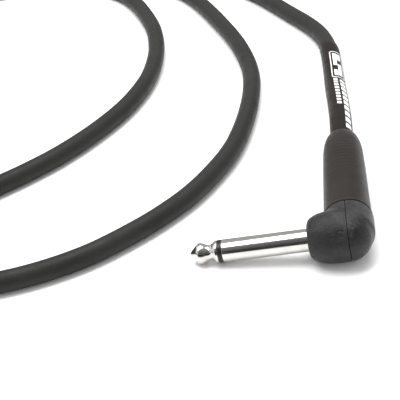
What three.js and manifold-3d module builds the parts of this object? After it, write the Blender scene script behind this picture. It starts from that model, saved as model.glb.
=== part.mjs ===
// Instrument cable: a right-angle 6.35 mm mono plug, its lead, and a straight plug on the far end.
// Millimetres, +Z up, standing on z = 0. The right-angle plug's boot points along +Y and its
// shaft along -X. The origin is under the middle of that plug.
import * as THREE from 'three';
import { mergeVertices } from 'three/addons/utils/BufferGeometryUtils.js';
import Module from 'manifold-3d';

const wasm = await Module();
wasm.setup();

// Plug shaft, measured from the crossing of the shaft's and the boot's axes.
const SHAFT_RADIUS = 3.175;
const FACE_AT = 11;
const TIP_AT = 43.5;
const BALL_AT = 40.5;
const BALL_RADIUS = 2.98;
const ROD_RADIUS = 1.2;
const FIT = 0.3;

// Housing and boot.
const HOUSING_RADIUS = 7.2;
const COLLAR_RADIUS = 6.9;
const BOOT_SEAT = 6.57;
const NECK_RADIUS = 5.3;
const NECK_END = 13.5;
const CAVITY_RADIUS = 5.4;
const CABLE_BORE = 4.6;
const BOOT_RADIUS = 6.8;
const NEAR_BOOT_END = 49.8;
const FAR_BOOT_END = 36.8;
const BOOT_MOUTH = 3.8;
const BARREL_RADIUS = 6.8;

// Cable.
const CABLE_RADIUS = 3.1;
const CLAMPED_RADIUS = 2.8;
const LABEL_RADIUS = 3.5;
const LABEL_START = 44;
const LABEL_END = 123.5;
const FLOOR_Z = CABLE_RADIUS + 0.05;

// Each plug lies on its housing and on the ball of its tip: the heights are of its boot's axis.
const NEAR_HEIGHT = 7.68;
const NEAR_TILT = Math.asin((NEAR_HEIGHT - BALL_RADIUS - 0.02) / BALL_AT);
const FAR_HEIGHT = 7.58;
const FAR_TILT = Math.asin((FAR_HEIGHT - BALL_RADIUS - 0.02) / BALL_AT);

// Coil of the length that is put away: two turns across and four high, tied once.
const COIL_X = -157.4;
const COIL_Y = 63.3;
const COIL_OUTER_TURN = 34.2;
const TURN_PITCH = 6.3;
const COIL_LIFT = 1.5;
const COIL_LAYERS = 4;
const COIL_EXIT = THREE.MathUtils.degToRad(16);
const TAIL_LENGTH = 44;
const TIE_ANGLE = THREE.MathUtils.degToRad(95);
const TIE_WIDTH = 10;

// The origin stands under the middle of the near plug.
const ORIGIN_X = 18.13;
const ORIGIN_Y = -21.25;

const paint = (color, roughness, metalness) =>
  new THREE.MeshStandardMaterial({ color, roughness, metalness });

const NICKEL = paint(0xd4d4d2, 0.18, 1.0);
const TINNED = paint(0xc2c0ba, 0.4, 1.0);
const SOLDER = paint(0xb4b4b0, 0.45, 1.0);
const COPPER = paint(0xb56a3c, 0.4, 1.0);
const BLACK_INSULATOR = paint(0x151515, 0.5, 0.0);
const MOULDED_BLACK = paint(0x1b1b1d, 0.55, 0.0);
const SOFT_BLACK = paint(0x35302c, 0.7, 0.0);
const CHUCK_GREY = paint(0x55565a, 0.5, 0.0);
const JACKET_BLACK = paint(0x1e1f1f, 0.6, 0.0);
const SLEEVE_BLACK = paint(0x242426, 0.5, 0.0);
const CORE_WHITE = paint(0xd8d4c8, 0.6, 0.0);
const STRAP_BLACK = paint(0x202124, 0.9, 0.0);

const root = new THREE.Group();
const frame = new THREE.Group();
frame.position.set(ORIGIN_X, ORIGIN_Y, 0);
root.add(frame);

function addPiece(parent, name, geometry, material) {
  const mesh = new THREE.Mesh(geometry, material);
  mesh.name = name;
  parent.add(mesh);
  return mesh;
}

// Only the corner positions matter here, so corners that coincide are made one.
function bare(geometry) {
  geometry.deleteAttribute('normal');
  geometry.deleteAttribute('uv');
  const positions = geometry.index ? geometry : mergeVertices(geometry, 1e-4);
  return mergeVertices(positions, 1e-4);
}

function toSolid(geometry) {
  const merged = bare(geometry.clone());
  return new wasm.Manifold(new wasm.Mesh({
    numProp: 3,
    vertProperties: new Float32Array(merged.attributes.position.array),
    triVerts: new Uint32Array(merged.index.array),
  }));
}

function fromSolid(solid) {
  const mesh = solid.getMesh();
  const geometry = new THREE.BufferGeometry();
  geometry.setAttribute('position', new THREE.BufferAttribute(mesh.vertProperties, 3));
  geometry.setIndex(new THREE.BufferAttribute(mesh.triVerts, 1));
  return geometry;
}

// A body of revolution about +Y from [radius, height] points listed upwards on the outside.
function turned(profile, sides) {
  const points = profile.map(([radius, height]) => new THREE.Vector2(radius, height));
  return new THREE.LatheGeometry(points, sides);
}

// The same for a ring: the profile closes on itself.
function turnedRing(profile, sides) {
  return turned([...profile, profile[0]], sides);
}

// Turns a body about +Y so that its +Y end points along -X, as the near plug's shaft does.
function alongShaft(geometry) {
  return geometry.rotateZ(Math.PI / 2);
}

function circle(radius, sides) {
  const shape = new THREE.Shape();
  for (let i = 0; i < sides; i += 1) {
    const angle = ((i + 0.5) / sides) * 2 * Math.PI;
    const [x, y] = [radius * Math.cos(angle), radius * Math.sin(angle)];
    if (i === 0) shape.moveTo(x, y);
    else shape.lineTo(x, y);
  }
  shape.closePath();
  return shape;
}

function sweep(shape, curve, steps) {
  return new THREE.ExtrudeGeometry(shape, { steps, bevelEnabled: false, extrudePath: curve });
}

function route(points) {
  const corners = points.map(([x, y, z]) => new THREE.Vector3(x, y, z));
  return new THREE.CatmullRomCurve3(corners, false, 'centripetal');
}

// --- Pieces of a plug's shaft, made about +Y with the tip upwards. ---

function tipContact() {
  return turned([
    [0, 3.9],
    [2.0, 3.9],
    [2.0, 4.6],
    [ROD_RADIUS, 4.6],
    [ROD_RADIUS, TIP_AT - 7.75],
    [3.1, TIP_AT - 7.75],
    [3.1, TIP_AT - 7.2],
    [2.75, TIP_AT - 6.9],
    [2.3, TIP_AT - 6.2],
    [2.1, TIP_AT - 5.6],
    [2.3, TIP_AT - 5.0],
    [2.8, TIP_AT - 4.0],
    [BALL_RADIUS, BALL_AT],
    [2.65, TIP_AT - 2.2],
    [1.75, TIP_AT - 1.2],
    [0.65, TIP_AT - 0.2],
    [0, TIP_AT],
  ], 20);
}

function tipInsulator() {
  return turnedRing([
    [ROD_RADIUS + FIT, 8.9],
    [2.0, 8.9],
    [2.0, TIP_AT - 8.95],
    [3.12, TIP_AT - 8.95],
    [3.12, TIP_AT - 8.05],
    [ROD_RADIUS + FIT, TIP_AT - 8.05],
  ], 20);
}

function sleeveContact() {
  return turnedRing([
    [2.3, 8.0],
    [4.8, 8.0],
    [4.8, 9.2],
    [SHAFT_RADIUS, 9.2],
    [SHAFT_RADIUS, TIP_AT - 9.25],
    [2.3, TIP_AT - 9.25],
  ], 24);
}

function rearInsulator() {
  return turnedRing([[1.5, 5.7], [3.4, 5.7], [3.4, 6.9], [1.5, 6.9]], 20);
}

// A solder lug: a flat washer with a tab on one side.
function solderLug(bore, rim, bottom, tabSide, tabEnd) {
  const thickness = 0.5;
  const washer = toSolid(turnedRing([
    [bore, bottom],
    [rim, bottom],
    [rim, bottom + thickness],
    [bore, bottom + thickness],
  ], 20));
  const tab = new THREE.BoxGeometry(tabEnd - rim + 0.6, thickness, 1.5);
  tab.translate((tabEnd + rim - 0.6) / 2, bottom + thickness / 2, tabSide);
  return fromSolid(washer.add(toSolid(tab)));
}

function solderBead(radius) {
  return new THREE.SphereGeometry(radius, 12, 8);
}

// --- Pieces round the cable, made about +Y with the cable leaving upwards. ---

function housingCavity() {
  return toSolid(turned([
    [0, -4.6],
    [3.4, -4.4],
    [4.9, -3.0],
    [CAVITY_RADIUS, -1.2],
    [CAVITY_RADIUS, 9.5],
    [SHAFT_RADIUS + FIT, 9.5],
    [SHAFT_RADIUS + FIT, FACE_AT + 2],
    [0, FACE_AT + 2],
  ], 28));
}

function elbow() {
  const belowSeat = new THREE.BoxGeometry(60, 60, 60);
  belowSeat.translate(0, BOOT_SEAT - 30, 0);
  const body = toSolid(alongShaft(turned([
    [0, -6.5],
    [2.1, -6.2],
    [3.85, -5.4],
    [5.3, -4.2],
    [6.43, -2.6],
    [7.04, -0.9],
    [HOUSING_RADIUS, 1.5],
    [7.1, 5.0],
    [6.8, 7.4],
    [6.2, 9.4],
    [5.5, 10.4],
    [4.6, FACE_AT],
    [0, FACE_AT],
  ], 32))).intersect(toSolid(belowSeat));
  const collar = toSolid(turned([
    [0, -1],
    [COLLAR_RADIUS, -1],
    [COLLAR_RADIUS, BOOT_SEAT],
    [NECK_RADIUS, BOOT_SEAT],
    [NECK_RADIUS, NECK_END],
    [0, NECK_END],
  ], 28));
  const cableBore = toSolid(turned([
    [0, 0],
    [CABLE_BORE, 0],
    [CABLE_BORE, NECK_END + 1],
    [0, NECK_END + 1],
  ], 28));
  const shaftCavity = toSolid(alongShaft(fromSolid(housingCavity())));
  return body.add(collar).subtract(shaftCavity).subtract(cableBore);
}

// One side of the elbow's parting plane, which holds the boot's axis and faces the shaft.
function elbowHalf(side) {
  const half = new THREE.BoxGeometry(40, 60, 40);
  half.translate(side * (20 + FIT / 2), 0, 0);
  return fromSolid(elbow().intersect(toSolid(half)));
}

function straightBarrel() {
  const body = toSolid(turned([
    [0, -FACE_AT],
    [4.8, -FACE_AT],
    [5.6, -FACE_AT + 0.5],
    [6.3, -FACE_AT + 1.6],
    [BARREL_RADIUS, -6],
    [BARREL_RADIUS, BOOT_SEAT],
    [NECK_RADIUS, BOOT_SEAT],
    [NECK_RADIUS, NECK_END],
    [0, NECK_END],
  ], 28));
  const cableBore = toSolid(turned([
    [0, 0],
    [CABLE_BORE, 0],
    [CABLE_BORE, NECK_END + 1],
    [0, NECK_END + 1],
  ], 28));
  const cavity = toSolid(fromSolid(housingCavity()).rotateX(Math.PI));
  return fromSolid(body.subtract(cavity).subtract(cableBore));
}

// The boot is a long nut: its wide end screws onto the housing's neck.
function boot(end) {
  const base = BOOT_SEAT + FIT;
  const outside = [
    [6.45, base],
    [BOOT_RADIUS, base + 0.4],
    [BOOT_RADIUS, base + 1.3],
    [6.5, base + 1.8],
  ];
  const length = end - base;
  const taper = [
    [0.24, 6.37],
    [0.44, 6.24],
    [0.68, 6.1],
    [0.81, 5.93],
    [0.89, 5.65],
    [0.95, 5.2],
    [1, 4.3],
  ];
  for (const [share, radius] of taper) outside.push([radius, base + share * length]);
  const inside = [
    [BOOT_MOUTH, end],
    [BOOT_MOUTH, 31],
    [CABLE_BORE + 0.6, 22.5],
    [CABLE_BORE + 0.7, 14.6],
    [NECK_RADIUS + FIT, 14.2],
    [NECK_RADIUS + FIT, base],
  ];
  return turnedRing([...outside, ...inside], 24);
}

// The chuck grips the jacket: a collet with four slots, squeezed by the boot.
function chuck() {
  let collet = toSolid(turnedRing([
    [CLAMPED_RADIUS + FIT, 14.8],
    [4.9, 14.8],
    [4.9, 22.2],
    [4.0, 27],
    [CLAMPED_RADIUS + FIT, 27],
  ], 24));
  for (const turn of [Math.PI / 4, -Math.PI / 4]) {
    const slot = new THREE.BoxGeometry(12, 9, 0.8);
    slot.translate(0, 23.5, 0);
    slot.rotateY(turn);
    collet = collet.subtract(toSolid(slot));
  }
  return fromSolid(collet);
}

// --- Near plug, tilted about its boot's axis. ---

const nearPlug = new THREE.Group();
nearPlug.position.set(0, 0, NEAR_HEIGHT);
nearPlug.rotation.y = -NEAR_TILT;
frame.add(nearPlug);

addPiece(nearPlug, 'plug_tip_contact', alongShaft(tipContact()), NICKEL);
addPiece(nearPlug, 'plug_tip_insulator', alongShaft(tipInsulator()), BLACK_INSULATOR);
addPiece(nearPlug, 'plug_sleeve_contact', alongShaft(sleeveContact()), NICKEL);
addPiece(nearPlug, 'plug_rear_insulator', alongShaft(rearInsulator()), BLACK_INSULATOR);
addPiece(nearPlug, 'plug_tip_lug', alongShaft(solderLug(1.5, 2.8, 4.9, 0, 4.9)), TINNED);
addPiece(nearPlug, 'plug_ground_lug', alongShaft(solderLug(2.3, 4.2, 7.2, -1.6, 4.5)), TINNED);
addPiece(nearPlug, 'plug_front_housing', elbowHalf(-1), MOULDED_BLACK);
addPiece(nearPlug, 'plug_back_cover', elbowHalf(1), MOULDED_BLACK);
addPiece(nearPlug, 'plug_chuck', chuck(), CHUCK_GREY);
addPiece(nearPlug, 'plug_boot', boot(NEAR_BOOT_END), SOFT_BLACK);

const nearTipBead = addPiece(nearPlug, 'plug_tip_solder', solderBead(0.8), SOLDER);
nearTipBead.position.set(-3.8, 4.0, 0);
const nearGroundBead = addPiece(nearPlug, 'plug_ground_solder', solderBead(0.55), SOLDER);
nearGroundBead.position.set(-6.3, 4.25, -1.7);

const nearCorePath = route([
  [0.3, 11.7, 1.0],
  [-0.2, 8.4, 1.0],
  [-0.9, 6.2, 0.7],
  [-1.8, 4.9, 0.3],
]);
addPiece(nearPlug, 'plug_core', sweep(circle(1.1, 8), nearCorePath, 6), CORE_WHITE);
const nearWirePath = route([[-2.05, 4.65, 0.2], [-2.35, 4.4, 0.1], [-2.6, 4.25, 0.05]]);
addPiece(nearPlug, 'plug_wire_end', sweep(circle(0.45, 8), nearWirePath, 2), COPPER);
const nearPigtailPath = route([
  [-1.3, 11.6, -1.5],
  [-2.0, 7.5, -1.9],
  [-3.0, 4.6, -2.0],
  [-4.2, 3.5, -2.3],
  [-5.5, 3.3, -2.6],
]);
addPiece(nearPlug, 'plug_shield_pigtail', sweep(circle(0.5, 8), nearPigtailPath, 8), COPPER);

// --- Cable through the near boot, under its printed heat-shrink sleeve. ---

const sleevedRoute = [
  [0, 54, NEAR_HEIGHT],
  [0, 63, NEAR_HEIGHT],
  [-0.3, 76, 6.6],
  [-0.8, 90, 5.1],
  [-1.1, 104, 4.0],
  [-1.5, 116, LABEL_RADIUS + 0.05],
];
const clampedPath = route([[0, 12, NEAR_HEIGHT], [0, 33, NEAR_HEIGHT], ...sleevedRoute,
  [-2.05, LABEL_END - 0.2, LABEL_RADIUS + 0.05]]);
addPiece(frame, 'plug_jacket_end', sweep(circle(CLAMPED_RADIUS, 10), clampedPath, 18), JACKET_BLACK);

const label = circle(LABEL_RADIUS, 10);
label.holes.push(circle(CLAMPED_RADIUS + FIT, 10));
const labelPath = route([[0, LABEL_START, NEAR_HEIGHT], ...sleevedRoute,
  [-2.1, LABEL_END, LABEL_RADIUS + 0.05]]);
addPiece(frame, 'label_sleeve', sweep(label, labelPath, 14), SLEEVE_BLACK);

// --- Cable on the floor: three passes of a loose spiral that runs inwards. Out of the picture the
// middle pass rides up onto its neighbours: its third numbers are how high it rises. ---

const outerLoop = [
  [-2.15, LABEL_END + 0.35],
  [-4.2, 135.3],
  [-7.4, 143.6],
  [-11.6, 151.3],
  [-16, 158.3],
  [-20.3, 165.3],
  [-25, 172.8],
  [-30.5, 180.8],
  [-38.5, 190.3],
  [-50, 199.3],
  [-66, 206.3],
  [-86, 210],
  [-110, 210.7],
  [-140, 210.6],
  [-163, 205.7],
  [-181, 193.8],
  [-193, 174.3],
  [-198.2, 149.3],
  [-198.2, 121.3],
  [-198.2, 91.3],
  [-198.2, 61.3],
  [-195.2, 35.3],
  [-184.5, 13],
  [-166, -3],
  [-146, -10.2],
  [-126, -12],
  [-110, -12.3],
  [-100, -11.6],
  [-92.2, -9.6],
];
const middleLoop = [
  [-91.9, -9.45],
  [-84.2, -6.4],
  [-76.9, -2.5],
  [-69.8, 2.4],
  [-58.6, 12.9],
  [-52, 20.5],
  [-45.6, 29.5],
  [-39.8, 40.8],
  [-34.7, 54.3],
  [-31.3, 71.5],
  [-29.7, 91.9],
  [-30.5, 109.3],
  [-35.6, 131.4],
  [-44.2, 154.1],
  [-54.7, 176.8],
  [-60.5, 186.3],
  [-69, 195.8, 0.6],
  [-81, 203.3, 3.2],
  [-96, 206.8, 5.6],
  [-116, 207.4, 5.6],
  [-138, 207.3, 5.6],
  [-159.5, 202.8, 5.6],
  [-176.5, 191.8, 5.6],
  [-188.5, 173.3, 5.6],
  [-195, 149.3, 5.7],
  [-197, 127.3, 6.2],
  [-198.2, 106.3, 6.4],
  [-198.2, 86.3, 6.4],
  [-198.2, 63.3, 6.4],
  [-194.6, 41, 6.3],
  [-185, 26, 4.4],
  [-171, 18, 1],
  [-155, 16.4],
  [-140, 19.4],
  [-122, 27.9],
  [-110, 36.5],
  [-104.2, 41.6],
];
const innerLoop = [
  [-103.9, 41.9],
  [-99.1, 46.6],
  [-91.9, 54.6],
  [-85.1, 64.1],
  [-79.6, 73.3],
  [-74.3, 84.1],
  [-70.7, 94.4],
  [-67.9, 106.8],
  [-66.9, 119.3],
  [-67.4, 132.8],
  [-70.1, 149.2],
  [-74, 161.8],
  [-80, 176.2],
  [-85, 185.3],
  [-92.5, 194.1],
  [-103.5, 200.6],
  [-118, 203.7],
  [-136, 203.8],
  [-155, 200],
  [-172, 190.5],
  [-184, 174.1],
  [-190.5, 154.3],
  [-191.7, 131.3],
];

function onFloor(points) {
  return points.map(([x, y, rise = 0]) => [x, y, FLOOR_Z + rise]);
}

const coilRim = COIL_OUTER_TURN + CABLE_RADIUS + 0.1;
const coilBore = COIL_OUTER_TURN - TURN_PITCH - CABLE_RADIUS - 0.1;
const firstLayer = COIL_LIFT + CABLE_RADIUS;
const coilStart = COIL_Y + Math.sqrt(coilRim ** 2 - (COIL_OUTER_TURN - CABLE_RADIUS) ** 2) + FIT;
const cable = circle(CABLE_RADIUS, 8);

addPiece(frame, 'cable_outer_loop', sweep(cable, route(onFloor(outerLoop)), 84), JACKET_BLACK);
addPiece(frame, 'cable_middle_loop', sweep(cable, route(onFloor(middleLoop)), 96), JACKET_BLACK);
const intoCoil = [
  ...onFloor(innerLoop),
  [COIL_X - COIL_OUTER_TURN, 109.3, FLOOR_Z + 0.8],
  [COIL_X - COIL_OUTER_TURN, coilStart + 0.1, firstLayer],
];
addPiece(frame, 'cable_inner_loop', sweep(cable, route(intoCoil), 60), JACKET_BLACK);

// --- Coil: its outer shape, standing about its own axis. ---

const coilTop = COIL_LIFT + (COIL_LAYERS - 1) * TURN_PITCH + 2 * CABLE_RADIUS;
const coil = turnedRing([
  [coilBore + 1.2, COIL_LIFT],
  [coilRim - 1.2, COIL_LIFT],
  [coilRim, COIL_LIFT + 1.2],
  [coilRim, coilTop - 1.2],
  [coilRim - 1.2, coilTop],
  [coilBore + 1.2, coilTop],
  [coilBore, coilTop - 1.2],
  [coilBore, COIL_LIFT + 1.2],
], 32);
coil.rotateX(Math.PI / 2);
const coilPiece = addPiece(frame, 'cable_coil', coil, JACKET_BLACK);
coilPiece.position.set(COIL_X, COIL_Y, 0);

function strapOutline(margin) {
  const [left, right] = [coilBore - 0.9 - margin, coilRim + 0.35 + margin];
  const [low, high] = [COIL_LIFT - 0.4 - margin, coilTop + 0.4 + margin];
  const corner = 1.5;
  const shape = new THREE.Shape();
  shape.moveTo(left + corner, low);
  shape.lineTo(right - corner, low);
  shape.lineTo(right, low + corner);
  shape.lineTo(right, high - corner);
  shape.lineTo(right - corner, high);
  shape.lineTo(left + corner, high);
  shape.lineTo(left, high - corner);
  shape.lineTo(left, low + corner);
  shape.closePath();
  return shape;
}

const strap = strapOutline(1);
strap.holes.push(strapOutline(0));
const strapGeometry = new THREE.ExtrudeGeometry(strap, { depth: TIE_WIDTH, bevelEnabled: false });
strapGeometry.translate(0, 0, -TIE_WIDTH / 2);
strapGeometry.rotateX(Math.PI / 2);
strapGeometry.rotateZ(TIE_ANGLE);
const strapPiece = addPiece(frame, 'coil_strap', strapGeometry, STRAP_BLACK);
strapPiece.position.set(COIL_X, COIL_Y, 0);

// --- Far plug: straight, lying beside the coil with its tip down. ---

const heading = COIL_EXIT + Math.PI / 2;
const ahead = new THREE.Vector3(Math.cos(heading), Math.sin(heading), 0);
const exitPoint = new THREE.Vector3(
  COIL_X + COIL_OUTER_TURN * Math.cos(COIL_EXIT),
  COIL_Y + COIL_OUTER_TURN * Math.sin(COIL_EXIT),
  firstLayer + TURN_PITCH,
);

const farPlug = new THREE.Group();
farPlug.position.copy(exitPoint).addScaledVector(ahead, TAIL_LENGTH + FAR_BOOT_END).setZ(FAR_HEIGHT);
farPlug.rotation.order = 'ZXY';
farPlug.rotation.z = heading + Math.PI / 2;
farPlug.rotation.x = FAR_TILT;
frame.add(farPlug);

const forwards = (geometry) => geometry.rotateX(Math.PI);
addPiece(farPlug, 'far_tip_contact', forwards(tipContact()), NICKEL);
addPiece(farPlug, 'far_tip_insulator', forwards(tipInsulator()), BLACK_INSULATOR);
addPiece(farPlug, 'far_sleeve_contact', forwards(sleeveContact()), NICKEL);
addPiece(farPlug, 'far_rear_insulator', forwards(rearInsulator()), BLACK_INSULATOR);
addPiece(farPlug, 'far_tip_lug', forwards(solderLug(1.5, 2.8, 4.9, 0, 4.7)), TINNED);
addPiece(farPlug, 'far_ground_lug', forwards(solderLug(2.3, 4.2, 7.2, 0, 4.9)), TINNED);
addPiece(farPlug, 'far_barrel', straightBarrel(), MOULDED_BLACK);
addPiece(farPlug, 'far_chuck', chuck(), CHUCK_GREY);
addPiece(farPlug, 'far_boot', boot(FAR_BOOT_END), SOFT_BLACK);
const farTipBead = addPiece(farPlug, 'far_tip_solder', solderBead(0.7), SOLDER);
farTipBead.position.set(3.7, -3.8, 0);
const farWirePath = route([[1.2, 11.6, 0], [2.2, 5.5, 0], [3.5, -2.7, 0]]);
addPiece(farPlug, 'far_core', sweep(circle(0.9, 8), farWirePath, 4), CORE_WHITE);
const farJacketPath = route([[0, 12, 0], [0, 24, 0], [0, FAR_BOOT_END - 0.1, 0]]);
addPiece(farPlug, 'far_jacket_end', sweep(circle(CLAMPED_RADIUS, 10), farJacketPath, 2),
  JACKET_BLACK);

// The tail runs from the coil's second layer straight into the far boot.
const backwards = new THREE.Vector3(-ahead.x, -ahead.y, Math.tan(FAR_TILT));
const tailEnd = farPlug.position.clone().addScaledVector(backwards,
  (FAR_BOOT_END + 0.3) * Math.cos(FAR_TILT));
const tailStart = exitPoint.clone().addScaledVector(ahead, 21.6);
const tailPath = new THREE.CatmullRomCurve3([
  tailStart,
  tailEnd.clone().addScaledVector(backwards, 14),
  tailEnd.clone().addScaledVector(backwards, 7),
  tailEnd,
], false, 'centripetal');
addPiece(frame, 'cable_tail', sweep(cable, tailPath, 6), JACKET_BLACK);

export default root;
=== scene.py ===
"""Instrument cable: detailed pieces, materials, floor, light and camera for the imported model."""
import math

import bmesh
import bpy
from mathutils import Matrix, Vector, noise


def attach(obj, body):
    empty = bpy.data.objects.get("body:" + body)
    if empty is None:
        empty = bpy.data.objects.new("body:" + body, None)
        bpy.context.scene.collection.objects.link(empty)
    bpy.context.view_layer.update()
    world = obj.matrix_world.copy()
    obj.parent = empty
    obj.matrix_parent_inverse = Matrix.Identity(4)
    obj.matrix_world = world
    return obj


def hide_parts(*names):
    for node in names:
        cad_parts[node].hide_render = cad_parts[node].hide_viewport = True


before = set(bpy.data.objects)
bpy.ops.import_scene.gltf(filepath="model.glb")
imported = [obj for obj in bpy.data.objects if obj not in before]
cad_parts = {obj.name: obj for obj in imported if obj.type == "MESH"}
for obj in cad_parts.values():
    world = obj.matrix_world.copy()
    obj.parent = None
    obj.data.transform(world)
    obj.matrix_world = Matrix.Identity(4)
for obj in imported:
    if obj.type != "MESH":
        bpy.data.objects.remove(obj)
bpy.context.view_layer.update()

MM = 0.001

# The numbers below repeat part.mjs. They are in millimetres, from the point on the floor under
# the crossing of the near plug's shaft and boot axes, which stands at ORIGIN in the part's frame.
ORIGIN = Vector((18.13, -21.25, 0))
SHAFT_RADIUS = 3.175
FACE_AT = 11
TIP_AT = 43.5
BALL_AT = 40.5
BALL_RADIUS = 2.98
BOOT_SEAT = 6.57
NECK_END = 13.5
BOOT_START = 6.87
NEAR_BOOT_END = 49.8
FAR_BOOT_END = 36.8
CABLE_RADIUS = 3.1
LABEL_START = 44
LABEL_END = 123.5
LABEL_RADIUS = 3.5
FLOOR_Z = 3.15
NEAR_HEIGHT = 7.68
NEAR_TILT = math.asin((NEAR_HEIGHT - BALL_RADIUS - 0.02) / BALL_AT)
FAR_HEIGHT = 7.58
FAR_TILT = math.asin((FAR_HEIGHT - BALL_RADIUS - 0.02) / BALL_AT)
COIL_X, COIL_Y = -157.4, 63.3
COIL_OUTER_TURN = 34.2
TURN_PITCH = 6.3
COIL_LIFT = 1.5
COIL_LAYERS = 4
COIL_EXIT = math.radians(16)
TAIL_LENGTH = 44
TIE_ANGLE = math.radians(95)
TIE_WIDTH = 10


def at(point):
    """A point of part.mjs in the part's frame, in metres."""
    return (Vector(point) + ORIGIN) * MM


# --- Camera. ---

CAMERA_AT = (0.01136, -0.24800, 0.16925)
CAMERA_TURN = math.radians(8.02)
CAMERA_DOWN = math.radians(33)
CAMERA_ROLL = math.radians(-6.634)
LENS = 93.183


def add_camera():
    data = bpy.data.cameras.new("camera")
    data.lens = LENS
    data.sensor_width = 36
    data.clip_start = 0.005
    data.clip_end = 20
    ahead = Vector((
        -math.sin(CAMERA_TURN) * math.cos(CAMERA_DOWN),
        math.cos(CAMERA_TURN) * math.cos(CAMERA_DOWN),
        -math.sin(CAMERA_DOWN),
    ))
    level = Vector((math.cos(CAMERA_TURN), math.sin(CAMERA_TURN), 0))
    upright = level.cross(ahead)
    right = math.cos(CAMERA_ROLL) * level + math.sin(CAMERA_ROLL) * upright
    up = right.cross(ahead)
    camera = bpy.data.objects.new("camera", data)
    axes = Matrix((right, up, -ahead)).transposed().to_4x4()
    camera.matrix_world = Matrix.Translation(CAMERA_AT) @ axes
    bpy.context.scene.collection.objects.link(camera)
    bpy.context.scene.camera = camera


add_camera()

# --- The cable's route. ---


def spline(points, step):
    """Points about `step` apart on a centripetal Catmull-Rom curve, as three.js draws it."""
    corners = [Vector(p) for p in points]
    corners = [2 * corners[0] - corners[1], *corners, 2 * corners[-1] - corners[-2]]
    out = [corners[1]]
    for a, b, c, d in zip(corners, corners[1:], corners[2:], corners[3:]):
        t1 = math.sqrt((b - a).length)
        t2 = t1 + math.sqrt((c - b).length)
        t3 = t2 + math.sqrt((d - c).length)
        count = max(1, round((c - b).length / step))
        for k in range(1, count + 1):
            t = t1 + (t2 - t1) * k / count
            ab = a.lerp(b, t / t1)
            bc = b.lerp(c, (t - t1) / (t2 - t1))
            cd = c.lerp(d, (t - t2) / (t3 - t2))
            abc = ab.lerp(bc, t / t2)
            bcd = bc.lerp(cd, (t - t1) / (t3 - t1))
            out.append(abc.lerp(bcd, (t - t1) / (t2 - t1)))
    return out


JACKET_START = 24
SLEEVED_ROUTE = [
    (0, 33, NEAR_HEIGHT), (0, 44, NEAR_HEIGHT), (0, 54, NEAR_HEIGHT), (0, 63, NEAR_HEIGHT),
    (-0.3, 76, 6.6), (-0.8, 90, 5.1), (-1.1, 104, 4.0), (-1.5, 116, 3.55),
    (-2.05, 123.3, 3.5),
]
# Points on the floor. A third number is how high the cable rises over its neighbours.
OUTER_LOOP = [
    (-4.2, 135.3), (-7.4, 143.6), (-11.6, 151.3), (-16, 158.3), (-20.3, 165.3), (-25, 172.8),
    (-30.5, 180.8), (-38.5, 190.3), (-50, 199.3), (-66, 206.3), (-86, 210), (-110, 210.7),
    (-140, 210.6), (-163, 205.7), (-181, 193.8), (-193, 174.3), (-198.2, 149.3),
    (-198.2, 121.3), (-198.2, 91.3), (-198.2, 61.3), (-195.2, 35.3), (-184.5, 13), (-166, -3),
    (-146, -10.2), (-126, -12), (-110, -12.3), (-100, -11.6), (-92.2, -9.6),
]
MIDDLE_LOOP = [
    (-84.2, -6.4), (-76.9, -2.5), (-69.8, 2.4), (-58.6, 12.9), (-52, 20.5), (-45.6, 29.5),
    (-39.8, 40.8), (-34.7, 54.3), (-31.3, 71.5), (-29.7, 91.9), (-30.5, 109.3), (-35.6, 131.4),
    (-44.2, 154.1), (-54.7, 176.8), (-60.5, 186.3), (-69, 195.8, 0.6), (-81, 203.3, 3.2),
    (-96, 206.8, 5.6), (-116, 207.4, 5.6), (-138, 207.3, 5.6), (-159.5, 202.8, 5.6),
    (-176.5, 191.8, 5.6), (-188.5, 173.3, 5.6), (-195, 149.3, 5.7), (-197, 127.3, 6.2),
    (-198.2, 106.3, 6.4), (-198.2, 86.3, 6.4), (-198.2, 63.3, 6.4), (-194.6, 41, 6.3),
    (-185, 26, 4.4), (-171, 18, 1), (-155, 16.4), (-140, 19.4), (-122, 27.9), (-110, 36.5),
    (-104.2, 41.6),
]
INNER_LOOP = [
    (-99.1, 46.6), (-91.9, 54.6), (-85.1, 64.1), (-79.6, 73.3), (-74.3, 84.1), (-70.7, 94.4),
    (-67.9, 106.8), (-66.9, 119.3), (-67.4, 132.8), (-70.1, 149.2), (-74, 161.8), (-80, 176.2),
    (-85, 185.3), (-92.5, 194.1), (-103.5, 200.6), (-118, 203.7), (-136, 203.8), (-155, 200),
    (-172, 190.5), (-184, 174.1), (-190.5, 154.3), (-191.7, 131.3),
]

# Where the coil's strand moves to the next column or layer: the turn, the angles in degrees
# between which it moves, and how many pitches it moves outwards and upwards.
COIL_START = 180
COIL_TURNS = 7
COIL_MOVES = [
    (1, 96, 172, -1, 0),
    (2, 74, 154, 0, 1),
    (3, 74, 154, 0, 1),
    (4, 74, 154, 0, 1),
    (5, 52, 132, 1, 0),
    (6, 30, 110, 0, -1),
    (7, 30, 110, 0, -1),
]
COIL_STEP = 6


def coil_point(angle):
    radius, height = COIL_OUTER_TURN, COIL_LIFT + CABLE_RADIUS
    for turn, first, last, outwards, upwards in COIL_MOVES:
        share = (angle - 360 * turn - first) / (last - first)
        moved = 0.5 - 0.5 * math.cos(math.pi * min(1, max(0, share)))
        radius += outwards * moved * TURN_PITCH
        height += upwards * moved * TURN_PITCH
    turned = math.radians(angle)
    return Vector((
        COIL_X + radius * math.cos(turned), COIL_Y + radius * math.sin(turned), height,
    ))


heading = COIL_EXIT + math.pi / 2
ahead = Vector((math.cos(heading), math.sin(heading), 0))
coil_end = 360 * (COIL_TURNS + 1) + math.degrees(COIL_EXIT)
coil_angles = [
    COIL_START + (coil_end - COIL_START) * k / round((coil_end - COIL_START) / COIL_STEP)
    for k in range(round((coil_end - COIL_START) / COIL_STEP) + 1)
]
coil_route = [coil_point(angle) for angle in coil_angles]

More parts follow.
